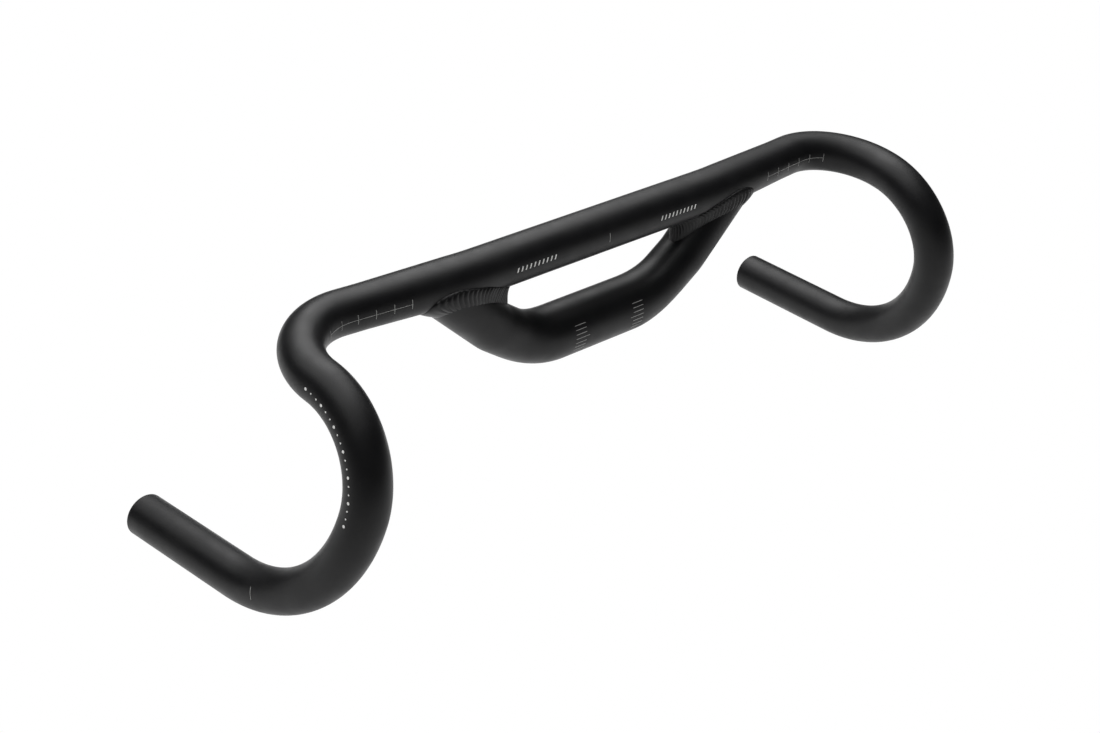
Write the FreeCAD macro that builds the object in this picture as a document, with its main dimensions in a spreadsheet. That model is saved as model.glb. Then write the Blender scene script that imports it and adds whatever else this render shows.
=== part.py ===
"""Riser-type drop handlebar: a bent, butted top tube and a clamp tube welded under it.

Frame: the origin is the middle of the straight section that a stem clamps. +X runs along that
section to the rider's left, -Y points forward to the hooks, and +Z is up.

A tube is a chain of runs. Each run starts in the frame where the last one ended, heads along
that frame's Z axis and bends towards its X axis. Every size and place is bound to the sheet.
"""
import FreeCAD, Part
import os

doc = FreeCAD.newDocument("drop_handlebar")

# Driving dimensions, in millimetres and degrees.
DIMENSIONS = (
    ("clamp_diameter", 31.8, "outside of the straight section that a stem holds"),
    ("clamp_length", 55.2, "length of that straight section"),
    ("clamp_wall", 2.0, "wall of the clamp tube"),
    ("arm_diameter", 28.6, "outside of the arms that rise to the top tube"),
    ("arm_bend_radius", 62.3, "centreline radius of the bend beside the straight section"),
    ("arm_bend_angle", 33.1, "how steeply the arm rises after that bend"),
    ("arm_low_length", 11.8, "straight run between the arm's two bends"),
    ("arm_kick_radius", 34.4, "centreline radius of the arm's second bend"),
    ("arm_kick_angle", 8.6, "turn of the second bend"),
    ("arm_kick_roll", 10, "lean of the second bend towards the swept-back top"),
    ("ear_gap", 3.5, "how far below the top tube's axis the coped arm stops"),
    ("rise", 53.3, "height of the top tube's axis over the clamp's axis"),
    ("centre_diameter", 26.0, "outside of the top tube between the sweep bends"),
    ("centre_wall", 2.0, "wall of the top tube there"),
    ("grip_diameter", 23.8, "outside of the shoulders, hooks and drops"),
    ("grip_wall", 1.6, "wall there"),
    ("flat_half_length", 94.2, "from the middle to the corner of the sweep bend"),
    ("sweep_angle", 5.26, "how far each side of the top sweeps back"),
    ("sweep_radius", 188, "centreline radius of the sweep bend"),
    ("side_length", 13.0, "untapered run between the thinning run and the shoulder"),
    ("shoulder_half_width", 215.1, "from the middle to the corner of the shoulder"),
    ("shoulder_radius", 39.7, "centreline radius of the shoulder"),
    ("toe_in", 3.11, "how far each hook points inwards, seen from above"),
    ("flare", 9.93, "how far each hook leans outwards, seen from the front"),
    ("ramp_angle", 8.16, "slope of the ramp behind the hood, below level"),
    ("ramp_length", 2.1, "straight run between the shoulder and the hook"),
    ("hook_radius", 46.9, "centreline radius of the hook's upper bend"),
    ("hook_turn", 92.4, "turn of that bend"),
    ("drop_radius", 84.3, "centreline radius of the hook's lower bend"),
    ("drop_length", 77.8, "straight run at the end of the drop"),
    ("end_chamfer", 0.5, "broken edge at each end of the tube"),
    ("bead_reach", 3.4, "how far weld metal stands off each tube"),
    ("bead_top", 0.5, "height of the weld's upper toe over the top tube's axis"),
)

BEND_STATIONS = 6  # spans of the loft through the bend where the clamp tube thins

sheet = doc.addObject("Spreadsheet::Sheet", "dims")
for row, (alias, value, note) in enumerate(DIMENSIONS, start=1):
    sheet.set(f"A{row}", alias)
    sheet.set(f"B{row}", str(value))
    sheet.set(f"C{row}", note)
    sheet.setAlias(f"B{row}", alias)
doc.recompute()


def bind(item, **formulas):
    """Bind properties of an object to formulas over the sheet."""
    for name, formula in formulas.items():
        item.setExpression(name, str(formula))
    return item


# --- frames, as formulas -----------------------------------------------------------------

def shift(x, y, z):
    """Move by x, y, z."""
    return f"placement(vector({x}; {y}; {z}); rotation(vector(0; 0; 1); 0))"


def turn(axis, angle):
    """Turn about an axis through the frame's origin."""
    return f"placement(vector(0; 0; 0); rotation(vector({axis}); {angle}))"


def roll(start, angle):
    """Turn the frame about its own heading, which sets the way the next bend goes."""
    return f"{start} * {turn('0; 0; 1', angle)}"


TORUS_AXES = turn("0; 1; 1", 180)  # between a run's axes and those of the torus it bends along


# --- runs of a tube ----------------------------------------------------------------------

def straight(name, start, length, radius):
    """A straight run. Returns it and the frame at its end."""
    rod = bind(
        doc.addObject("Part::Cylinder", name),
        Placement=start,
        Radius=radius,
        Height=length,
    )
    return rod, f"{name}.Placement * {shift(0, 0, name + '.Height')}"


def taper(name, start, length, radius, end_radius):
    """A straight run that thins or swells. Returns it and the frame at its end."""
    cone = bind(
        doc.addObject("Part::Cone", name),
        Placement=start,
        Radius1=radius,
        Radius2=end_radius,
        Height=length,
    )
    return cone, f"{name}.Placement * {shift(0, 0, name + '.Height')}"


def bend(name, start, bend_radius, angle, radius):
    """A run bent towards the frame's X axis. Returns it and the frame at its end."""
    ring = bind(
        doc.addObject("Part::Torus", name),
        Placement=f"{start} * {shift(bend_radius, 0, 0)} * {TORUS_AXES}",
        Radius1=bend_radius,
        Radius2=radius,
        Angle3=angle,
    )
    turned = turn("0; 0; 1", f"{name}.Angle3")
    end = f"{name}.Placement * {turned} * {shift(name + '.Radius1', 0, 0)} * {TORUS_AXES}"
    return ring, end


def thinning_bend(name, start, bend_radius, angle, radius, end_radius):
    """A bent run that thins smoothly, lofted through circles. Returns it and its end frame."""
    circles = []
    for station in range(BEND_STATIONS + 1):
        share = station / BEND_STATIONS
        eased = share * share * (3 - 2 * share)
        swing = turn("0; 1; 0", f"{share} * {angle}")
        place = f"{start} * {shift(bend_radius, 0, 0)} * {swing} * {shift(f'-{bend_radius}', 0, 0)}"
        circle = doc.addObject("Part::Circle", f"{name}_station_{station}")
        bind(
            circle,
            Placement=place,
            Radius=f"{radius} + ({end_radius} - {radius}) * {eased}",
        )
        circles.append(circle)
    loft = doc.addObject("Part::Loft", name)
    loft.Sections = circles
    loft.Solid = True
    return loft, f"{circles[-1].Name}.Placement"


def fused(name, pieces):
    """One solid from several that meet face to face."""
    whole = doc.addObject("Part::MultiFuse", name)
    whole.Shapes = pieces
    whole.Refine = True
    return whole


def both_sides(name, half):
    """A half and its mirror image across the bar's middle plane, as one solid."""
    return fused(name, [half, mirrored(f"{name}_mirror", half)])


def mirrored(name, source):
    """The mirror image across the bar's middle plane."""
    image = doc.addObject("Part::Mirroring", name)
    image.Source = source
    image.Normal = (1, 0, 0)
    return image


def cut(name, base, tool):
    """The base with the tool taken out of it."""
    result = doc.addObject("Part::Cut", name)
    result.Base = base
    result.Tool = tool
    return result


# --- the top tube, with its shoulders, hooks and drops ------------------------------------

# Directions seen along the tube at the shoulder: the top heads along the sweep, and the ramp
# heads forward, toed in, sloping down in the flared plane of the hook.
SWING = "(dims.toe_in + dims.sweep_angle)"
RAMP_ALONG = (
    f"(sin(dims.ramp_angle) * sin(dims.flare) * cos({SWING})"
    f" - cos(dims.ramp_angle) * sin({SWING}))"
)
RAMP_BACK = (
    f"(-cos(dims.ramp_angle) * cos({SWING})"
    f" - sin(dims.ramp_angle) * sin(dims.flare) * sin({SWING}))"
)
RAMP_UP = "(-sin(dims.ramp_angle) * cos(dims.flare))"
SHOULDER_TURN = f"acos({RAMP_ALONG})"
SHOULDER_ROLL = f"(atan({RAMP_UP} / {RAMP_BACK}) + 180deg)"
SWEEP_TANGENT = "(dims.sweep_radius * tan(dims.sweep_angle / 2))"
SHOULDER_TANGENT = f"(dims.shoulder_radius * tan({SHOULDER_TURN} / 2))"
THINNING_LENGTH = (
    "((dims.shoulder_half_width - dims.flat_half_length) / cos(dims.sweep_angle)"
    f" - {SWEEP_TANGENT} - {SHOULDER_TANGENT} - dims.side_length)"
)


def top_runs(prefix, centre_radius, grip_radius):
    """Half of the top, from the middle to the shoulder, with the frame at its end."""
    middle = f"{shift(0, 0, 'dims.rise')} * {turn('1; 1; 1', 120)}"
    flat, end = straight(
        f"{prefix}_flat", middle, f"dims.flat_half_length - {SWEEP_TANGENT}", centre_radius
    )
    sweep, end = bend(
        f"{prefix}_sweep", end, "dims.sweep_radius", "dims.sweep_angle", centre_radius
    )
    thinning, end = taper(
        f"{prefix}_taper", end, THINNING_LENGTH, centre_radius, grip_radius
    )
    side, end = straight(f"{prefix}_side", end, "dims.side_length", grip_radius)
    return [flat, sweep, thinning, side], end


def hook_start(shoulder):
    """The frame at the end of the shoulder, with its X axis in the plane of the hook."""
    reach = f"{shoulder}.Radius1"
    corner = f"vector({reach} * cos({shoulder}.Angle3); {reach} * sin({shoulder}.Angle3); 0)"
    here = f"placement({shoulder}.Placement * {corner}; rotation(vector(0; 0; 1); 0))"
    toe = turn("0; 0; 1", "-dims.toe_in")
    lean = turn("0; 1; 0", "-dims.flare")
    forward = turn("1; 1; -1", 120)
    slope = turn("0; 1; 0", "dims.ramp_angle")
    return f"{here} * {toe} * {lean} * {forward} * {slope}"


def half_bar(prefix, centre_radius, grip_radius, end_radius):
    """Half of the whole tube as a solid rod. end_radius is that of the very end."""
    runs, end = top_runs(prefix, centre_radius, grip_radius)
    shoulder, end = bend(
        f"{prefix}_shoulder", roll(end, SHOULDER_ROLL), "dims.shoulder_radius",
        SHOULDER_TURN, grip_radius,
    )
    ramp, end = straight(
        f"{prefix}_ramp", hook_start(shoulder.Name), "dims.ramp_length", grip_radius
    )
    hook, end = bend(f"{prefix}_hook", end, "dims.hook_radius", "dims.hook_turn", grip_radius)
    drop_turn = "180 - dims.ramp_angle - dims.hook_turn"
    drop, end = bend(f"{prefix}_drop", end, "dims.drop_radius", drop_turn, grip_radius)
    grip, end = straight(
        f"{prefix}_grip", end, "dims.drop_length - dims.end_chamfer", grip_radius
    )
    tip, end = taper(f"{prefix}_tip", end, "dims.end_chamfer", grip_radius, end_radius)
    return fused(f"{prefix}_half", runs + [shoulder, ramp, hook, drop, grip, tip])


CENTRE_RADIUS = "dims.centre_diameter / 2"
GRIP_RADIUS = "dims.grip_diameter / 2"
CENTRE_BORE = f"({CENTRE_RADIUS} - dims.centre_wall)"
GRIP_BORE = f"({GRIP_RADIUS} - dims.grip_wall)"

bar_rod = both_sides(
    "bar_rod",
    half_bar("rod", CENTRE_RADIUS, GRIP_RADIUS, f"{GRIP_RADIUS} - dims.end_chamfer"),
)
bar_bore = both_sides(
    "bar_bore",
    half_bar("bore", CENTRE_BORE, GRIP_BORE, f"{GRIP_BORE} + dims.end_chamfer"),
)
drop_bar_tube = cut("drop_bar_tube", bar_rod, bar_bore)


# --- the clamp tube, coped against the underside of the top tube --------------------------

CLAMP_RADIUS = "dims.clamp_diameter / 2"
ARM_RADIUS = "dims.arm_diameter / 2"


def arm_runs(prefix, growth):
    """The arm past the straight section, with every radius changed by growth.

    Its last run goes on through the top tube and past it, for the cuts to trim.
    """
    clamp_radius = f"({CLAMP_RADIUS} + {growth})"
    arm_radius = f"({ARM_RADIUS} + {growth})"
    start = f"{shift('dims.clamp_length / 2', 0, 0)} * {turn('1; 0; 1', 180)}"
    rising, end = thinning_bend(
        f"{prefix}_bend", start, "dims.arm_bend_radius", "dims.arm_bend_angle",
        clamp_radius, arm_radius,
    )
    low, end = straight(f"{prefix}_low", end, "dims.arm_low_length", arm_radius)
    kick, end = bend(
        f"{prefix}_kick", roll(end, "-dims.arm_kick_roll"), "dims.arm_kick_radius",
        "dims.arm_kick_angle", arm_radius,
    )
    high, end = straight(f"{prefix}_high", end, "2 * dims.rise", arm_radius)
    return [rising, low, kick, high]


def half_clamp(prefix, growth):
    """Half of the clamp tube as a solid rod."""
    middle = turn("1; 0; 1", 180)
    held, end = straight(
        f"{prefix}_held", middle, "dims.clamp_length / 2", f"{CLAMP_RADIUS} + {growth}"
    )
    return fused(f"{prefix}_half", [held] + arm_runs(prefix, growth))


clamp_rod = both_sides("clamp_rod", half_clamp("clamp", "0"))
clamp_bore = both_sides("clamp_bore", half_clamp("clamp_bore", "(-dims.clamp_wall)"))


def all_above(name, height):
    """A box that takes in all of the arms above a height."""
    return bind(
        doc.addObject("Part::Box", name),
        Length="6 * dims.flat_half_length",
        Width="4 * dims.clamp_diameter",
        Height="3 * dims.rise",
        Placement=shift("-3 * dims.flat_half_length", "-2 * dims.clamp_diameter", height),
    )


over_ears = all_above("over_ears", "dims.rise - dims.ear_gap")
clamp_trimmed = cut("clamp_trimmed", clamp_rod, over_ears)
clamp_hollow = cut("clamp_hollow", clamp_trimmed, clamp_bore)
clamp_tube = cut("clamp_tube", clamp_hollow, bar_rod)


# --- the weld beads: the space within reach of both tubes --------------------------------

grown_top = fused(
    "grown_top",
    top_runs(
        "grown_top", f"({CENTRE_RADIUS} + dims.bead_reach)", f"({GRIP_RADIUS} + dims.bead_reach)"
    )[0],
)
grown_arm = cut(
    "grown_arm_trimmed",
    fused("grown_arm", arm_runs("grown_arm", "dims.bead_reach")),
    all_above("over_toe", "dims.rise + dims.bead_top"),
)

# A square rod on edge along the top tube. Its upper faces slope the weld down from the toe.
ROOF_SIDE = "(4 * dims.centre_diameter / sqrt(2))"
roof = bind(
    doc.addObject("Part::Box", "weld_roof"),
    Length="2 * dims.flat_half_length",
    Width=ROOF_SIDE,
    Height=ROOF_SIDE,
    Placement=(
        f"{shift('dims.flat_half_length', 0, 'dims.rise + dims.bead_top')}"
        f" * {turn('0; 0; 1', 'dims.sweep_angle / 2')}"
        f" * {shift('-dims.flat_half_length', 0, CENTRE_RADIUS)}"
        f" * {turn('1; 0; 0', -135)}"
    ),
)
weld_space = doc.addObject("Part::MultiCommon", "weld_space")
weld_space.Shapes = [grown_top, grown_arm, roof]
weld_clear = cut("weld_clear", weld_space, bar_rod)
weld_bead_left = cut("weld_bead_left", weld_clear, clamp_trimmed)
weld_bead_right = mirrored("weld_bead_right", weld_bead_left)


# --- check and write ----------------------------------------------------------------------

SUB_PARTS = (drop_bar_tube, clamp_tube, weld_bead_left, weld_bead_right)

doc.recompute()
for item in doc.Objects:
    for fault in ("Invalid", "Error"):
        if fault in item.State:
            raise RuntimeError(f"{item.Name} is in state {item.State}")

os.makedirs("parts", exist_ok=True)
for part in SUB_PARTS:
    part.Label = part.Name
    if part.Shape.isNull() or not part.Shape.isValid():
        raise RuntimeError(f"{part.Label} has no valid shape")
    part.Shape.exportStep(f"parts/{part.Label}.step")
    print(f"{part.Label}: {len(part.Shape.Solids)} solid, {part.Shape.Volume / 1000:.1f} cm3")
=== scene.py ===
# %% [markdown]
# # A flared drop handlebar
# The real thing is two aluminium tubes. The upper one is the whole bar: a straight raised top, two
# shoulders, two hooks and two drops. The lower one is the short thick tube that the stem holds, and
# its arms rise to the top tube and are welded to it. Everything is black, with pale printed scales.
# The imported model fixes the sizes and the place. These cells give it surfaces, welds and finishes.

import bpy
import numpy as np
from mathutils import Matrix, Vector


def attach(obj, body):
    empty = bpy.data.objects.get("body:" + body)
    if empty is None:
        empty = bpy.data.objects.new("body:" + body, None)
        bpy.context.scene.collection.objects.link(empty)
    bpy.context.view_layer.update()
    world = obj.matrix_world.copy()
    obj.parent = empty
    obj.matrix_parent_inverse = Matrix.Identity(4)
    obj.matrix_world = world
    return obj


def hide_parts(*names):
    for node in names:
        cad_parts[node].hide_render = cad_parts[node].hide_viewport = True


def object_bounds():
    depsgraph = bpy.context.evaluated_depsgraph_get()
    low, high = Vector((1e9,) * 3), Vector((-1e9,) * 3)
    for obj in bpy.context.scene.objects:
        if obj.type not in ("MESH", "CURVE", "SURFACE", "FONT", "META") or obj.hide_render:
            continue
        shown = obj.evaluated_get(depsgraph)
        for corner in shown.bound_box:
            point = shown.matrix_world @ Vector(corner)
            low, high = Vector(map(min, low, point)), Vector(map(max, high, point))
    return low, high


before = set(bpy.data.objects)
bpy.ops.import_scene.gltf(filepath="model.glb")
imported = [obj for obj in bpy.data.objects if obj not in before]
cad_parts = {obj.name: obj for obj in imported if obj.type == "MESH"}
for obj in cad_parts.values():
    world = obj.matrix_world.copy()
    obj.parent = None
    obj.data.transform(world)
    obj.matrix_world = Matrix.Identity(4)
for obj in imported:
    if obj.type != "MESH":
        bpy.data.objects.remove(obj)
MM = 0.001
CAD_BOX = [list(corner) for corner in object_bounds()]
print("packed nodes:", sorted(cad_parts))
print("packed box in mm:", np.round(np.array(CAD_BOX) / MM, 1).tolist())

# %% [markdown]
# ## The camera
# A camera is a place, a direction and a lens. Here the direction comes from an azimuth round the
# bar, an elevation above it and a slight roll, as the three handles of a tripod head set them. The
# three axes of the view make the columns of one matrix, which is exact where aiming by hand is not.
# The lens is a little under 1.8 times as long as its sensor is wide.

# %% Camera in front of the rider's right hand, looking down at the stem clamp
AZIMUTH, ELEVATION, ROLL = np.radians([-44.66, 28.28, 2.87])
DISTANCE = 1097.8 * MM
AIM_RIGHT, AIM_UP = -21.66 * MM, -27.93 * MM
FOCAL_SHARE = 39 / 22


def view_axes(azimuth, elevation, roll):
    """Right, up and back of a camera: back points from the object to the camera, right is level
    before the roll, and the roll turns right and up about back."""
    back = np.array([np.sin(azimuth) * np.cos(elevation),
                     -np.cos(azimuth) * np.cos(elevation), np.sin(elevation)])
    level = np.array([np.cos(azimuth), np.sin(azimuth), 0])
    rise = np.cross(back, level)
    right = np.cos(roll) * level + np.sin(roll) * rise
    return right, np.cross(back, right), back


right, up, back = view_axes(AZIMUTH, ELEVATION, ROLL)
eye = AIM_RIGHT * right + AIM_UP * up + DISTANCE * back
lens = bpy.data.cameras.new("camera")
lens.sensor_width = 36
lens.lens = FOCAL_SHARE * lens.sensor_width
lens.clip_start, lens.clip_end = 0.05, 50
camera = bpy.data.objects.new("camera", lens)
bpy.context.scene.collection.objects.link(camera)
turned = np.eye(4)
turned[:3, :3] = np.stack([right, up, back], axis=1)
turned[:3, 3] = eye
camera.matrix_world = Matrix(turned)
bpy.context.scene.camera = camera
print("camera at", np.round(eye, 3).tolist(), "m, lens", round(lens.lens, 1), "mm")

# %% [markdown]
# ## Colours and nodes
# Paint and print are named by sRGB hex codes, but Blender's shaders count light, which is linear.
# One function does that change for every colour. A second adds a node with its settings and links,
# so that each material below reads as a short list of what the surface is made of.

# %% Two helpers for every material


def linear(code):
    """An sRGB hex colour as linear light: a channel up to 0.04045 is divided by 12.92, and a
    larger one is (channel + 0.055) / 1.055 to the power 2.4."""
    channel = np.array([int(code[place:place + 2], 16) for place in (1, 3, 5)]) / 255
    light = np.where(channel <= 0.04045, channel / 12.92, ((channel + 0.055) / 1.055) ** 2.4)
    return (*light.tolist(), 1.0)


def add_node(tree, kind, inputs=(), **settings):
    """Adds one node. settings are its own properties, and inputs are pairs of a socket and either
    a value or the output that feeds it."""
    node = tree.nodes.new(kind)
    for name, value in settings.items():
        setattr(node, name, value)
    for socket, value in inputs:
        if isinstance(value, bpy.types.NodeSocket):
            tree.links.new(value, node.inputs[socket])
        else:
            node.inputs[socket].default_value = value
    return node


def new_material(name):
    """A material with an empty Principled shader: its node tree, and the shader to fill in."""
    material = bpy.data.materials.new(name)
    material.use_nodes = True
    tree = material.node_tree
    return material, tree, tree.nodes["Principled BSDF"]


print("mid grey #808080 in linear light:", round(linear("#808080")[0], 4))

# %% [markdown]
# ## The finish of the tubes
# The tubes are anodised aluminium: blasted with fine glass beads until they are evenly matte, then
# grown a hard skin of aluminium oxide, which is dyed black and sealed. The eye sees that skin and
# not bare metal, so the colour is nearly black, the highlights are wide, soft and colourless, and
# the edges of the tube turn lighter where the light glances off. The oxide's index is about 1.65.
# Blasting leaves pits of 0.1 mm. They are drawn at 0.5 mm, the finest that shows from a metre.
# Hands and jigs leave the sheen a little uneven over patches of one centimetre, and the dye bath
# leaves its colour uneven over three. The dye also swallows most of what a bare oxide would mirror,
# so the specular level is low.

# %% Blasted black anodised aluminium
OXIDE_INDEX, DYED_SPECULAR = 1.65, 0.16
PIT, PIT_DEPTH = 0.5 * MM, 0.03 * MM
HANDLED_PATCH = 12 * MM
DYE_PATCH = 35 * MM
SHEEN_DRIFT = 0.05


def anodised(name, dark, pale, matte, pit, pit_depth):
    """Dyed oxide on blasted aluminium: colour drifts from dark to pale over dye patches, roughness
    drifts round matte over handled patches, and a fine noise dents the surface by pit_depth."""
    material, tree, shader = new_material(name)
    place = add_node(tree, "ShaderNodeTexCoord").outputs["Object"]
    dye = add_node(tree, "ShaderNodeTexNoise",
                   [("Vector", place), ("Scale", 1 / DYE_PATCH), ("Detail", 3.0)])
    colour = add_node(tree, "ShaderNodeMix", [(0, dye.outputs["Fac"]), (6, linear(dark)),
                                              (7, linear(pale))], data_type="RGBA")
    handled = add_node(tree, "ShaderNodeTexNoise",
                       [("Vector", place), ("Scale", 1 / HANDLED_PATCH), ("Detail", 4.0)])
    sheen = add_node(tree, "ShaderNodeMapRange",
                     [(0, handled.outputs["Fac"]), (1, 0.3), (2, 0.7),
                      (3, matte - SHEEN_DRIFT), (4, matte + SHEEN_DRIFT)])
    blasted = add_node(tree, "ShaderNodeTexNoise",
                       [("Vector", place), ("Scale", 1 / pit), ("Detail", 2.0)])
    dents = add_node(tree, "ShaderNodeBump", [("Strength", 1.0), ("Distance", pit_depth),
                                              ("Height", blasted.outputs["Fac"])])
    tree.links.new(colour.outputs[2], shader.inputs["Base Color"])
    tree.links.new(sheen.outputs[0], shader.inputs["Roughness"])
    tree.links.new(dents.outputs["Normal"], shader.inputs["Normal"])
    shader.inputs["IOR"].default_value = OXIDE_INDEX
    shader.inputs["Specular IOR Level"].default_value = DYED_SPECULAR
    return material


black_anodised = anodised("black_anodised_blasted", "#08080a", "#0d0d0e", 0.45, PIT, PIT_DEPTH)
print("made", black_anodised.name, "with pits drawn at", round(PIT / MM, 2), "mm")

# %% [markdown]
# ## A tube from its bending plan
# A bender makes a bar from a list: go straight so far, turn so much at this radius about that axis.
# The same list gives the centreline here, each run as a formula, so the bar is smooth at any
# spacing. A circle carried along it makes the skin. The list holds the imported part's own sizes.

# %% Follow a bending plan


def unit(vectors):
    """Vectors scaled to length one."""
    vectors = np.asarray(vectors, float)
    return vectors / np.linalg.norm(vectors, axis=-1, keepdims=True)


def ease(share):
    """A smooth step from 0 to 1: 3 share squared less 2 share cubed, held outside 0 to 1."""
    share = np.clip(share, 0, 1)
    return share * share * (3 - 2 * share)


def follow(start, plan, spacing):
    """Stations along a plan of runs, as distance, centre, direction and radius. A straight run is
    start + distance * direction. A bend of radius R about the unit axis k has the inward normal
    n = k x direction, and after the angle t its centre has moved by R (direction sin t +
    n (1 - cos t)), with the direction turned to direction cos t + n sin t. The tube's radius eases
    from the run's first value to its last."""
    centre, direction, gone, rows = np.array(start, float), np.array([1.0, 0, 0]), 0.0, []
    for run in plan:
        turn = np.radians(run.get("turn", 0))
        length = run["radius"] * turn if turn else run["length"]
        share = np.linspace(0, 1, int(np.ceil(length / spacing)) + 2)
        if turn:
            axis = unit(run["axis"])
            axis = unit(axis - axis @ direction * direction)
            inward = np.cross(axis, direction)
            sine, cosine = np.sin(share * turn)[:, None], np.cos(share * turn)[:, None]
            centres = centre + run["radius"] * (sine * direction + (1 - cosine) * inward)
            directions = cosine * direction + sine * inward
            swell = ease(share)
        else:
            centres = centre + (share * length)[:, None] * direction
            directions = np.tile(direction, (len(share), 1))
            swell = share
        first, last = run["tube"]
        row = (gone + share * length, centres, directions, first + (last - first) * swell)
        skip = 1 if rows else 0
        rows.append([values[skip:] for values in row])
        gone, centre, direction = gone + length, centres[-1], directions[-1]
    return [np.concatenate(values) for values in zip(*rows)]


RISE = 53.3 * MM
CENTRE_RADIUS, GRIP_RADIUS = 13.0 * MM, 11.9 * MM
HOOK_AXIS = unit([0.98357, -0.05344, 0.17244])
SHOULDER_AXIS = unit([-0.01291, 0.14023, -0.99003])
WIDE, SLIM = (CENTRE_RADIUS, CENTRE_RADIUS), (GRIP_RADIUS, GRIP_RADIUS)
BAR_PLAN = [
    {"length": 85.564 * MM, "tube": WIDE},
    {"turn": 5.26, "radius": 188 * MM, "axis": (0, 0, 1), "tube": WIDE},
    {"length": 55.0 * MM, "tube": (CENTRE_RADIUS, GRIP_RADIUS)},
    {"length": 13.0 * MM, "tube": SLIM},
    {"turn": 96.885, "radius": 39.7 * MM, "axis": SHOULDER_AXIS, "tube": SLIM},
    {"length": 2.1 * MM, "tube": SLIM},
    {"turn": 92.4, "radius": 46.9 * MM, "axis": HOOK_AXIS, "tube": SLIM},
    {"turn": 79.44, "radius": 84.3 * MM, "axis": HOOK_AXIS, "tube": SLIM},
    {"length": 77.3 * MM, "tube": SLIM},
    {"length": 0.5 * MM, "tube": (GRIP_RADIUS, GRIP_RADIUS - 0.5 * MM)},
]
bar_half = follow((0, 0, RISE), BAR_PLAN, 1.5 * MM)
bar_end = bar_half[0][-1]
print("half of the bar is", round(bar_end / MM, 1), "mm along its centreline")

# %% [markdown]
# ## Which way is the front of the tube
# A circle needs two directions square to the path. They must turn smoothly, or the skin twists.
# On the top they come from the vertical, so angle 0 is the front and 90 degrees is the crown. In
# the hooks they come from the hook's own axis, so 90 degrees is the outer side. The change is
# spread over the shoulder. The left half is the right half with its X turned over.

# %% Directions round the bar, and any point on its skin
SHOULDER_SPAN = (195 * MM, 240 * MM)


def square_to(directions, reference):
    """Two unit directions square to the path: side = direction x reference, and over =
    side x direction."""
    side = unit(np.cross(directions, reference))
    return side, np.cross(side, directions)


def both_halves(values, flips):
    """Stations of the whole bar from those of its +X half: the mirrored half comes first,
    backwards, with its middle station left out."""
    return np.concatenate([(values * flips)[:0:-1], values])


along, centres, directions, radii = bar_half
turned_share = ease((along - SHOULDER_SPAN[0]) / (SHOULDER_SPAN[1] - SHOULDER_SPAN[0]))[:, None]
reference = unit((1 - turned_share) * np.array([0, 0, 1]) + turned_share * HOOK_AXIS)
side, over = square_to(directions, reference)
MIRROR = np.array([-1, 1, 1])
bar_along = both_halves(along, -1)
bar_centres = both_halves(centres, MIRROR)
bar_side, bar_over = both_halves(side, MIRROR), both_halves(over, MIRROR)
bar_radii = both_halves(radii, 1)


def blended(distance, values):
    """Values at any distances along the bar, read between its stations."""
    return np.stack([np.interp(distance, bar_along, column) for column in values.T], axis=-1)


def bar_skin(distance, angle, lift=0.0):
    """Points on the bar's skin: centre + (radius + lift) (side cos angle + over sin angle)."""
    reach = (np.interp(distance, bar_along, bar_radii) + lift)[..., None]
    spoke = (blended(distance, bar_side) * np.cos(angle)[..., None]
             + blended(distance, bar_over) * np.sin(angle)[..., None])
    return blended(distance, bar_centres) + reach * unit(spoke)


print("bar's outer skin spans", round(float(np.ptp(bar_centres[:, 0]) / MM), 1), "mm in X")

# %% [markdown]
# ## Grids into meshes
# Every surface below is a grid of points. Where the grid closes on itself both ways, like a
# doughnut, there are no open edges: a pipe is a doughnut whose inner half is its bore. The faces
# join each point to its neighbours, and the volume's sign says whether they look outwards.

# %% Turn a closed grid into a piece


def doughnut_faces(rows, columns):
    """Quads of a grid that closes both ways: each joins (i, j), (i + 1, j), (i + 1, j + 1) and
    (i, j + 1), counted round."""
    row, column = np.meshgrid(np.arange(rows), np.arange(columns), indexing="ij")
    below, beside = (row + 1) % rows, (column + 1) % columns
    corners = [row * columns + column, below * columns + column,
               below * columns + beside, row * columns + beside]
    return np.stack(corners, axis=-1).reshape(-1, 4)


def volume_sign(points, quads):
    """The sign of the sum of the volumes of the wedges from the origin to each quad."""
    a, b, c, d = (points[quads[:, corner]] for corner in range(4))
    return np.sign(np.einsum("ij,ij->", a, np.cross(b, c))
                   + np.einsum("ij,ij->", a, np.cross(c, d)))


def make_piece(name, points, faces, material, crease=35):
    """A mesh object that rides on the bar's body. Edges sharper than crease degrees stay sharp."""
    mesh = bpy.data.meshes.new(name)
    mesh.from_pydata(np.asarray(points).reshape(-1, 3).tolist(), [], [list(face) for face in faces])
    mesh.shade_smooth()
    mesh.set_sharp_from_angle(angle=np.radians(crease))
    mesh.materials.append(material)
    piece = bpy.data.objects.new(name, mesh)
    bpy.context.scene.collection.objects.link(piece)
    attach(piece, "root")
    print(name, len(mesh.vertices), "points,", len(mesh.polygons), "faces")
    return piece


def doughnut_piece(name, grid, material):
    """A piece from a grid that closes both ways, with its faces looking outwards."""
    points = grid.reshape(-1, 3)
    faces = doughnut_faces(*grid.shape[:2])
    if volume_sign(points, faces) < 0:
        faces = faces[:, ::-1]
    return make_piece(name, points, faces.tolist(), material)


# %% [markdown]
# ## The drop bar
# The bar is one drawn tube, thick in the middle and thinner at the grips. Its bore follows the
# same path, 2.0 mm inside the skin on the top and 1.6 mm at the grips. The outer skin runs from
# one tip to the other and the bore runs back, so the cut ends are rings of real wall.

# %% The bar's skin and bore
AROUND = 80
CENTRE_WALL, GRIP_WALL = 2.0 * MM, 1.6 * MM
ring = np.linspace(0, 2 * np.pi, AROUND, endpoint=False)


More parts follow.
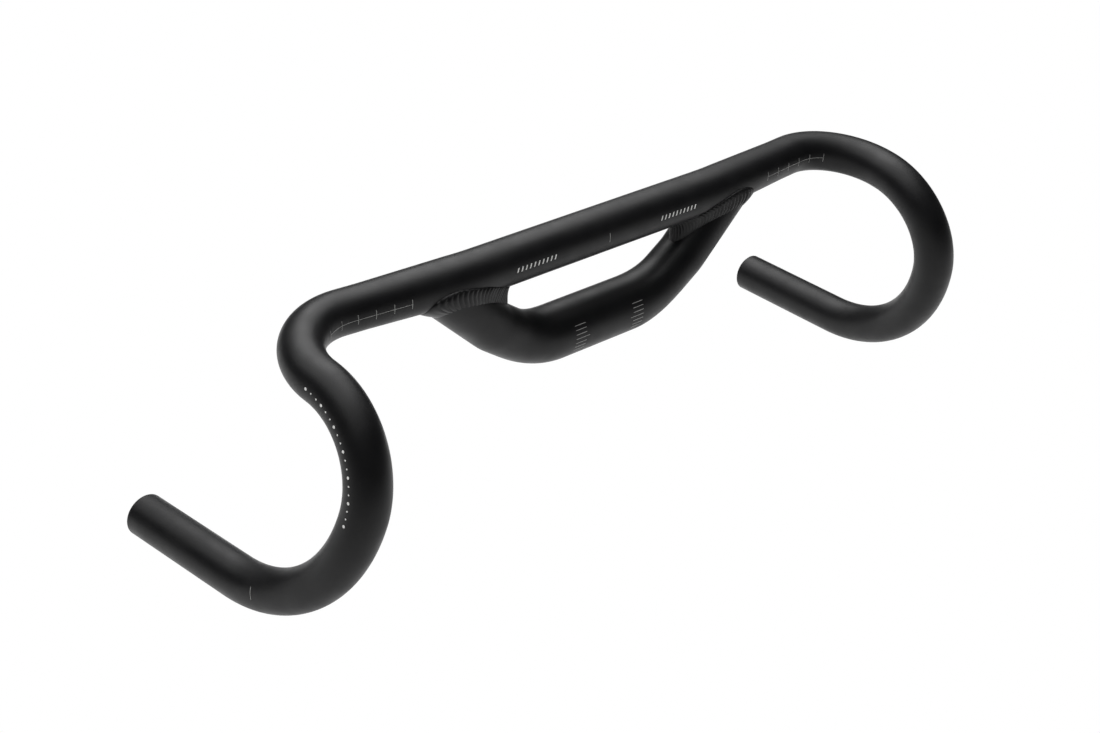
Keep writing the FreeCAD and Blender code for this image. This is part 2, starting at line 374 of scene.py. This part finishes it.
def bar_grid(spots, angles):
    """The skin out along the bar and the bore back: the bore's wall eases from the grip's to the
    centre's as the skin swells."""
    skin = bar_skin(spots[:, None], angles[None, :] + 0 * spots[:, None])
    back_along = spots[::-2]
    swell = np.interp(back_along, bar_along, bar_radii) - GRIP_RADIUS
    wall = GRIP_WALL + (CENTRE_WALL - GRIP_WALL) * np.clip(
        swell / (CENTRE_RADIUS - GRIP_RADIUS), 0, 1)
    bore = bar_skin(back_along[:, None], angles[None, :] + 0 * back_along[:, None],
                    -wall[:, None])
    return np.concatenate([skin, bore])


drop_bar = doughnut_piece("drop_bar", bar_grid(bar_along, ring), black_anodised)
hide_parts("drop_bar_tube")

# %% [markdown]
# ## The clamp tube and its coped arms
# The lower tube is 31.8 mm where the stem holds it and narrows to 28.6 mm within its two bends.
# A fitter copes each arm, which means cutting its end to the shape of the tube that it meets. On a
# grid that is easy: every line along the arm stops where it comes to the top tube, or at the ear
# height if it passes beside it.

# %% The clamp tube's centreline
CLAMP_RADIUS, ARM_RADIUS, CLAMP_WALL = 15.9 * MM, 14.3 * MM, 2.0 * MM
KICK_ROLL = np.radians(10)
ARM_ANGLE = np.radians(33.1)
low_direction = np.array([np.cos(ARM_ANGLE), 0, np.sin(ARM_ANGLE)])
low_inward = np.array([-np.sin(ARM_ANGLE), 0, np.cos(ARM_ANGLE)])
kick_inward = np.cos(KICK_ROLL) * low_inward + np.sin(KICK_ROLL) * np.array([0, 1, 0])
CLAMP_PLAN = [
    {"length": 27.6 * MM, "tube": (CLAMP_RADIUS, CLAMP_RADIUS)},
    {"turn": 33.1, "radius": 62.3 * MM, "axis": (0, -1, 0), "tube": (CLAMP_RADIUS, ARM_RADIUS)},
    {"length": 11.8 * MM, "tube": (ARM_RADIUS, ARM_RADIUS)},
    {"turn": 8.6, "radius": 34.4 * MM, "axis": np.cross(low_direction, kick_inward),
     "tube": (ARM_RADIUS, ARM_RADIUS)},
]
clamp_along, clamp_centres, clamp_directions, clamp_radii = follow((0, 0, 0), CLAMP_PLAN, 1.2 * MM)
clamp_side, clamp_over = square_to(clamp_directions, np.array([0, 1.0, 0]))
arm_start, arm_direction = clamp_centres[-1], clamp_directions[-1]
arm_side, arm_over = clamp_side[-1], clamp_over[-1]
print("an arm sets off at", np.round(arm_start / MM, 1).tolist(), "towards",
      np.round(arm_direction, 3).tolist())

# %% [markdown]
# ### Where each line of the arm stops
# The lines are tried at a tenth of a millimetre. The first try that lies inside the top tube, or
# above the ears, is where that line ends. A mean of three lines takes out the small steps.

# %% Cope the arms
EAR_HEIGHT = RISE - 3.5 * MM
STEP = 0.1 * MM
LONGEST_ARM = 75 * MM
JOINT_REGION = 160 * MM
COPE_SINK = 0.3 * MM


def from_bar(points):
    """The nearest station of the bar's top to each point, and how far off it is."""
    stations = np.flatnonzero(np.abs(bar_centres[:, 0]) < JOINT_REGION)
    gaps = np.linalg.norm(points[..., None, :] - bar_centres[stations], axis=-1)
    return stations[gaps.argmin(-1)], gaps.min(-1)


def arm_line(distance, angle, radius):
    """Points beside the arm's straight run: start + distance direction + radius (side cos angle +
    over sin angle)."""
    spoke = arm_side * np.cos(angle)[..., None] + arm_over * np.sin(angle)[..., None]
    return arm_start + distance[..., None] * arm_direction + radius * spoke


def cope_lengths(angles, radius, bar_reach):
    """How far each line of the arm runs before it is bar_reach from the bar's centreline, or
    above the ears."""
    tries = np.arange(0, LONGEST_ARM, STEP)
    points = arm_line(tries[None, :] + 0 * angles[:, None], angles[:, None] + 0 * tries, radius)
    stopped = (from_bar(points)[1] < bar_reach) | (points[..., 2] > EAR_HEIGHT)
    lengths = tries[stopped.argmax(1)]
    near = [np.roll(lengths, turn) for turn in (-1, 0, 1)]
    return np.mean(near, axis=0)


def half_clamp_grid(angles, inset, reach):
    """The +X half of the clamp tube's skin, or of its bore where inset is the wall: rings from the
    middle to the kick, then the arm's straight run cut to its cope."""
    spoke = (clamp_side[:, None] * np.cos(angles)[None, :, None]
             + clamp_over[:, None] * np.sin(angles)[None, :, None])
    rings = clamp_centres[:, None] + (clamp_radii[:, None, None] - inset) * spoke
    share = np.linspace(0, 1, 26)[1:, None]
    lengths = cope_lengths(angles, ARM_RADIUS - inset, reach)
    run = arm_line(share * lengths[None, :], angles[None, :] + 0 * share, ARM_RADIUS - inset)
    return np.concatenate([rings, run])


def whole(half):
    """A half grid with its mirror image before it."""
    return np.concatenate([(half * MIRROR)[:0:-1], half])


skin = whole(half_clamp_grid(ring, 0.0, CENTRE_RADIUS - COPE_SINK))
bore = whole(half_clamp_grid(ring, CLAMP_WALL, CENTRE_RADIUS - COPE_SINK))[::-1]
clamp = doughnut_piece("stem_clamp_tube", np.concatenate([skin, bore]), black_anodised)
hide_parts("clamp_tube")

# %% [markdown]
# ## The welds
# A welder joins the arms to the bar by hand, a puddle at a time. Each puddle sets as a crescent on
# the last, like a row of leaned coins: close together in the tight corner and wider apart outside.
# The bead is a band round the joint. Across it, a curve runs from a toe on the bar to a toe on the
# arm and crowns between them. Along it, the crown rises and falls once per puddle, and the
# crescents come from letting that count run ahead in the middle of the band.

# %% Finish of the welds
black_weld = anodised("black_anodised_weld", "#09090a", "#0e0e0f", 0.42, 0.8 * MM, 0.04 * MM)

# %% The joint line round an arm
BEAD_STEPS = 640


def circular_smooth(values, width):
    """Values round a closed line, each the mean of its neighbours under a bell curve."""
    count = len(values)
    offset = np.minimum(np.arange(count), count - np.arange(count))
    bell = np.exp(-0.5 * (offset / width) ** 2)
    return np.fft.irfft(np.fft.rfft(values) * np.fft.rfft(bell / bell.sum()), count)


bead_angles = np.linspace(0, 2 * np.pi, BEAD_STEPS, endpoint=False)
joint_lengths = circular_smooth(cope_lengths(bead_angles, ARM_RADIUS, CENTRE_RADIUS), 8)
joint = arm_line(joint_lengths, bead_angles, ARM_RADIUS)
crotch = bead_angles[joint_lengths.argmin()]
print("crotch at", np.round(joint[joint_lengths.argmin()] / MM, 1).tolist(), "mm, angle",
      round(float(np.degrees(crotch))), "degrees")

# %% [markdown]
# ### The toes
# A toe is the line where weld metal meets bare tube. The tables give both toes by the angle round
# the arm from the crotch, which is the tight inner corner. On the bar a toe is a distance along
# and an angle round, and on the arm it is a length. The band is wide in the crotch, where the metal
# bridges the gap, and narrows along the side. The back is the front's mirror.

# %% Toe lines on the two tubes
TOE_SINK = 0.25 * MM
TOE_SMOOTHING = 10
FROM_CROTCH = np.radians([0, 12, 24, 33, 42, 51, 62, 77, 92, 108, 122, 136, 156, 180])
BAR_TOE = np.array([61, 63.5, 69.3, 74.5, 81.5, 90, 98.3, 106, 112, 117, 121.3, 124, 125.3,
                    125.5]) * MM
BAR_TOE_ANGLE = np.radians([-90, -73, -53, -38, -24, -12.5, -2, 3, 1, -4.5, -14.5, -30, -60, -90])
ARM_TOE = np.array([-3.6, -1.6, 3.5, 8.8, 14.5, 19, 24, 30, 35.6, 40, 41.8, 42, 41.2, 40.5]) * MM
away = np.abs((bead_angles - crotch + np.pi) % (2 * np.pi) - np.pi)
front = (bead_angles - crotch) % (2 * np.pi) > np.pi


def along_line(table, signs=1):
    """A table read at each angle round the arm, times signs, and smoothed."""
    return circular_smooth(signs * np.interp(away, FROM_CROTCH, table), TOE_SMOOTHING)


underside = -np.pi / 2
bar_toe_distance = along_line(BAR_TOE)
bar_toe = bar_skin(
    bar_toe_distance,
    underside + along_line(BAR_TOE_ANGLE - underside, np.where(front, 1, -1)), -TOE_SINK)
arm_toe = arm_line(along_line(ARM_TOE), bead_angles, ARM_RADIUS - TOE_SINK)
arm_outward = arm_side * np.cos(bead_angles)[:, None] + arm_over * np.sin(bead_angles)[:, None]
outward = unit(unit(bar_toe - blended(bar_toe_distance, bar_centres)) + arm_outward)
print("toes are", np.round(np.linalg.norm(bar_toe - arm_toe, axis=-1)[::160] / MM, 1).tolist(),
      "mm apart at four places round the arm")

# %% [markdown]
# ### Counting the puddles
# A welder's puddles are spaced along the middle line of the band. The count of puddles up to a
# point is the length of that line from the crotch over the spacing. Points beside the line take the
# count of the place square across from them, less a crescent in the middle of the band.

# %% Puddle count over the band
PITCH_TIGHT, PITCH_WIDE = 1.7 * MM, 3.2 * MM
CRESCENT = 2.4 * MM
PEAK_EARLY = 0.6
middle_line = (bar_toe + arm_toe) / 2
share_out = away / np.pi
pitch = PITCH_TIGHT + (PITCH_WIDE - PITCH_TIGHT) * ease(share_out * 2)


def middle_count():
    """Puddles from the crotch to each place on the middle line, down the front and the back."""
    stride = np.linalg.norm(np.roll(middle_line, -1, axis=0) - middle_line, axis=-1)
    start = away.argmin()
    count = np.roll(np.cumsum(np.roll(stride / pitch, -start)), start)
    return np.where(front, count.max() - count, count)


def lead():
    """How much further from the crotch an arm toe is than its bar toe, along the middle line."""
    tangent = unit(np.roll(middle_line, -1, axis=0) - np.roll(middle_line, 1, axis=0))
    tangent *= np.where(front, -1, 1)[:, None]
    return circular_smooth(((arm_toe - bar_toe) * tangent).sum(-1), TOE_SMOOTHING)


across = np.linspace(0, 1, 31)
skewed = across ** PEAK_EARLY
swell = 4 * skewed * (1 - skewed)
puddle_count = middle_count()[:, None] + (
    lead()[:, None] * (across - 0.5) - CRESCENT * swell) / pitch[:, None]
print("puddles from the crotch to the outer end:", round(float(puddle_count.max())))

# %% [markdown]
# ### Crown and ripples
# The crown swells as 4 w (1 - w), where w is the share of the way from bar to arm to the power 0.6,
# so that it peaks nearer the bar and covers the arm's cut edge. In the crotch it is hollow, as a
# fillet is. The ripples fade out towards the outer end, which is nearly smooth.

# %% Weld beads
CROWN = np.array([-2.2, -1.7, -0.5, 0.3, 0.8, 1.1, 1.3, 1.3, 1.3, 1.3, 1.2, 0.8, 0.4, 0.3]) * MM
RIPPLE = 0.55 * MM
FADE_START, FADE_SPAN, FADE_DEPTH = 0.66, 0.1, 0.95
ROOT_DEPTH = 1.0 * MM
CHANCES = 400


def bead_grid(seed):
    """One weld bead: rows round the arm, and columns from bar toe to arm toe, raised along the mean
    of the two outward directions by the crown and by ripples the size of sin(pi count), each
    puddle with its own strength. A root inside both tubes closes the bead."""
    chance = np.random.default_rng(seed).uniform(0.7, 1.25, CHANCES)
    strength = chance[np.floor(puddle_count).astype(int) % CHANCES]
    fade = 1 - FADE_DEPTH * ease((share_out - FADE_START) / FADE_SPAN)[:, None]
    ripple = RIPPLE * strength * fade * np.abs(np.sin(np.pi * puddle_count)) * swell ** 0.5
    height = along_line(CROWN)[:, None] * swell + ripple
    face = (bar_toe[:, None] * (1 - across)[:, None] + arm_toe[:, None] * across[:, None]
            + height[..., None] * outward[:, None])
    hidden = joint - ROOT_DEPTH * outward
    root = np.stack([(arm_toe + hidden) / 2, hidden, (hidden + bar_toe) / 2], axis=1)
    return np.concatenate([face, root], axis=1)


for hand, flip, seed in (("left", 1, 5), ("right", -1, 9)):
    beads = bead_grid(seed) * np.array([flip, 1, 1])
    bead = doughnut_piece(f"weld_ripples_{hand}", beads, black_weld)
    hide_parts(f"weld_bead_{hand}")

# %% [markdown]
# ## Printed and etched marks
# The scales help a mechanic to set the stem and the levers evenly. They are etched by a laser,
# which takes the dye out of the oxide and leaves pale grey lines, and some are pad printed in
# white. Lines this thin would need a very large canvas to stay crisp, so each mark is a pad a few
# hundredths of a millimetre proud that follows the tube's skin.

# %% Finishes of the marks


def mark_finish(name, pale, grey, matte):
    """A pale mark: the colour drifts between two greys at the size of the blasted pits, because
    ink and laser both miss the deepest ones."""
    material, tree, shader = new_material(name)
    place = add_node(tree, "ShaderNodeTexCoord").outputs["Object"]
    missed = add_node(tree, "ShaderNodeTexNoise",
                      [("Vector", place), ("Scale", 1 / PIT), ("Detail", 2.0)])
    colour = add_node(tree, "ShaderNodeMix", [(0, missed.outputs["Fac"]), (6, linear(grey)),
                                              (7, linear(pale))], data_type="RGBA")
    tree.links.new(colour.outputs[2], shader.inputs["Base Color"])
    shader.inputs["Roughness"].default_value = matte
    return material


etched = mark_finish("laser_etched_grey", "#a8a8a6", "#8c8c8a", 0.6)
printed = mark_finish("pad_printed_white", "#f0f0ee", "#dcdcd9", 0.5)

# %% Pads that follow a skin
PAD_LIFT, PAD_ROOT = 0.05 * MM, -0.1 * MM


def clamp_skin(distance, angle, lift=0.0):
    """Points on the straight clamped section, with angle 0 at the front and 90 degrees on top."""
    reach = CLAMP_RADIUS + lift
    return np.stack([distance + 0 * angle, -reach * np.cos(angle) + 0 * distance,
                     reach * np.sin(angle) + 0 * distance], axis=-1)


def pads(skin, radius, spots, sizes, lean=0.0, rounded=False, counts=(2, 2)):
    """Closed pads on a skin. spots are rows of distance and angle, sizes rows of half length along
    the tube and half width round it. A pad's edge is straight, or a circle's: half width times the
    root of 1 less share squared. lean slides a point along by lean times its way round."""
    spots, sizes = np.atleast_2d(spots), np.atleast_2d(sizes)
    ahead = np.linspace(-1, 1, counts[0])
    if rounded:
        ahead = np.sin(ahead * np.pi / 2 * 0.94)
    edge = np.sqrt(1 - ahead ** 2) if rounded else np.ones_like(ahead)
    round_way = np.linspace(-1, 1, counts[1])
    q = sizes[:, None, None, 1] * edge[None, :, None] * round_way[None, None, :]
    p = sizes[:, None, None, 0] * ahead[None, :, None] + lean * q
    distance = spots[:, None, None, 0] + p
    angle = spots[:, None, None, 1] + q / radius
    face = skin(distance, angle, PAD_LIFT)
    root = skin(distance, angle, PAD_ROOT)[:, :, ::-1]
    rings = np.concatenate([face, root], axis=2)
    number, rows, columns = rings.shape[:3]
    quads = doughnut_faces(rows, columns).reshape(rows, columns, 4)[:-1].reshape(-1, 4)
    starts = (np.arange(number) * rows * columns)[:, None, None]
    caps = np.stack([np.arange(columns)[::-1], (rows - 1) * columns + np.arange(columns)])
    faces = (quads[None] + starts).reshape(-1, 4).tolist() + (caps[None] + starts).reshape(
        -1, columns).tolist()
    return rings.reshape(-1, 3), faces


def marks_piece(name, groups, material):
    """One piece from several groups of pads, with their faces looking outwards."""
    points, faces, first = [], [], 0
    for group_points, group_faces in groups:
        points.append(group_points)
        faces += [[corner + first for corner in face] for face in group_faces]
        first += len(group_points)
    points = np.concatenate(points)
    quads = np.array([face[:4] for face in faces if len(face) == 4])
    if volume_sign(points - points.mean(0), quads) < 0:
        faces = [face[::-1] for face in faces]
    return make_piece(name, points, faces, material)


# %% [markdown]
# ### What is marked where
# On the top's front are six short ticks on a thin line, for the ends of the tape and the levers.
# Each side of the stem has seven lines round the clamped section, with a longer one in the middle,
# for the bar's tilt. That tilt scale sits 1.9 mm towards the rider's left. A row of dots runs
# down the outside of each hook, for the lever's height, and a short line near each end shows where
# the drop may be cut.

# %% Scales, dots and lines
FINE_LINE = 0.16 * MM
TICK_SPOTS = np.array([135.2, 145.9, 156.7, 167.4, 180.4, 194.6]) * MM
HOOK_DOTS = np.linspace(241.8, 316.5, 19) * MM
CLAMP_LINES = np.radians(np.linspace(-28.2, 28.2, 7))
SCALE_SHIFT = 1.9 * MM
SCALE_OUT, LONG_LINE_OUT = 22.4 * MM, 17.4 * MM
TICK_HALF, CUT_HALF = 2.6 * MM, 3.4 * MM
CUT_SPOT = 407.5 * MM
LARGE_DOT, SMALL_DOT = 0.8 * MM, 0.45 * MM
outer_side = np.radians(91)

for hand, way in (("left", 1), ("right", -1)):
    ticks = pads(bar_skin, GRIP_RADIUS, np.stack([way * TICK_SPOTS, 0 * TICK_SPOTS], 1),
                 np.tile([FINE_LINE, TICK_HALF], (6, 1)), counts=(2, 7))
    thread = pads(bar_skin, GRIP_RADIUS, [way * TICK_SPOTS[[0, -1]].mean(), 0],
                  [np.ptp(TICK_SPOTS) / 2, FINE_LINE * 0.7], counts=(60, 2))
    marks_piece(f"tape_ticks_{hand}", [ticks, thread], etched)
    dots = [pads(bar_skin, GRIP_RADIUS, np.stack([way * spots, 0 * spots + outer_side], 1),
                 np.tile([size, size], (len(spots), 1)), rounded=True, counts=(9, 5))
            for spots, size in ((HOOK_DOTS[::3], LARGE_DOT),
                                (np.delete(HOOK_DOTS, np.s_[::3]), SMALL_DOT))]
    marks_piece(f"lever_dots_{hand}", dots, printed)
    lines = pads(clamp_skin, CLAMP_RADIUS,
                 np.stack([0 * CLAMP_LINES + way * SCALE_OUT + SCALE_SHIFT, CLAMP_LINES], 1),
                 np.stack([[4.0 * MM] * 7, [FINE_LINE] * 7], 1), counts=(6, 2))
    long_line = pads(clamp_skin, CLAMP_RADIUS, [way * LONG_LINE_OUT + SCALE_SHIFT, 0],
                     [1.2 * MM, FINE_LINE])
    marks_piece(f"tilt_scale_{hand}", [lines, long_line], etched)
    cut = pads(bar_skin, GRIP_RADIUS, [way * CUT_SPOT, np.radians(95)],
               [FINE_LINE, CUT_HALF], counts=(2, 9))
    marks_piece(f"trim_line_{hand}", [cut], etched)
middle = pads(bar_skin, CENTRE_RADIUS, [0, np.radians(2)], [FINE_LINE, TICK_HALF], counts=(2, 7))
marks_piece("centre_line", [middle], etched)

# %% [markdown]
# ### A plain row of dashes
# Bars carry a printed name each side of the middle. A plain row of slanted dashes of the same
# length and height stands there instead, and says nothing.

# %% Dashes
DASHES = np.linspace(41, 68, 10) * MM
for hand, way in (("left", 1), ("right", -1)):
    row = pads(bar_skin, CENTRE_RADIUS, np.stack([way * DASHES, 0 * DASHES + np.radians(3)], 1),
               np.tile([0.4 * MM, 1.3 * MM], (len(DASHES), 1)), lean=0.35, counts=(3, 5))
    marks_piece(f"dash_row_{hand}", [row], printed)

# %% [markdown]
# ## Floor and light
# A catalogue studio hangs such a part on threads, well above a plain pale floor, so that it throws
# no hard shadow. A wide softbox hangs overhead and a smaller one stands behind on the other side.
# The floor throws light back up, which is what draws the paler rim under each tube. The floor and
# the surroundings burn out to white for the camera alone, so no horizon shows from any side, and
# the metal still mirrors a dim room.

# %% Floor


def white_to_camera(tree, lit, glow_kind, target):
    """Links a shader to its target, with a plain white glow in its place for camera rays only."""
    rays = add_node(tree, "ShaderNodeLightPath")
    glow = add_node(tree, glow_kind, [("Color", linear("#ffffff")), ("Strength", 1.0)])
    choice = add_node(tree, "ShaderNodeMixShader", [(0, rays.outputs["Is Camera Ray"]), (1, lit),
                                                    (2, glow.outputs[0])])
    tree.links.new(choice.outputs[0], target)


FLOOR_HALF = 6.0
FLOOR_DROP = 120 * MM
floor_height = CAD_BOX[0][2] - FLOOR_DROP
floor_mesh = bpy.data.meshes.new("floor")
corners = [(-1, -1), (1, -1), (1, 1), (-1, 1)]
floor_mesh.from_pydata([(FLOOR_HALF * x, FLOOR_HALF * y, floor_height) for x, y in corners],
                       [], [(0, 1, 2, 3)])
floor = bpy.data.objects.new("floor", floor_mesh)
bpy.context.scene.collection.objects.link(floor)
paper, paper_tree, paper_shader = new_material("matte_paper")
paper_shader.inputs["Base Color"].default_value = linear("#f0f0f0")
paper_shader.inputs["Roughness"].default_value = 0.9
paper_shader.inputs["Specular IOR Level"].default_value = 0.1
white_to_camera(paper_tree, paper_shader.outputs[0], "ShaderNodeEmission",
                paper_tree.nodes["Material Output"].inputs[0])
floor_mesh.materials.append(paper)
print("floor at", round(floor_height / MM, 1), "mm")

# %% Lights
ROOM_LIGHT = 0.04


def soft_light(name, place, aim, size, power):
    """A square area light at place that looks at aim. Size in metres, power in watts."""
    lamp = bpy.data.lights.new(name, "AREA")
    lamp.shape, lamp.size, lamp.energy = "SQUARE", size, power
    holder = bpy.data.objects.new(name, lamp)
    bpy.context.scene.collection.objects.link(holder)
    away = unit(np.array(place) - np.array(aim))
    across = unit(np.cross((0.01, 1, 0), away))
    turn = np.eye(4)
    turn[:3, :3] = np.stack([across, np.cross(away, across), away], axis=1)
    turn[:3, 3] = place
    holder.matrix_world = Matrix(turn)
    return holder


soft_light("overhead_softbox", (-0.25, 0.35, 1.7), (0, 0, 0), 2.6, 55)
soft_light("back_softbox", (0.6, 0.65, 1.3), (0, 0, 0), 1.6, 25)
bpy.context.scene.view_settings.view_transform = "Standard"
world = bpy.data.worlds.new("studio")
bpy.context.scene.world = world
world.use_nodes = True
room = world.node_tree.nodes["Background"]
room.inputs["Color"].default_value = linear("#ffffff")
room.inputs["Strength"].default_value = ROOM_LIGHT
white_to_camera(world.node_tree, room.outputs[0], "ShaderNodeBackground",
                world.node_tree.nodes["World Output"].inputs[0])
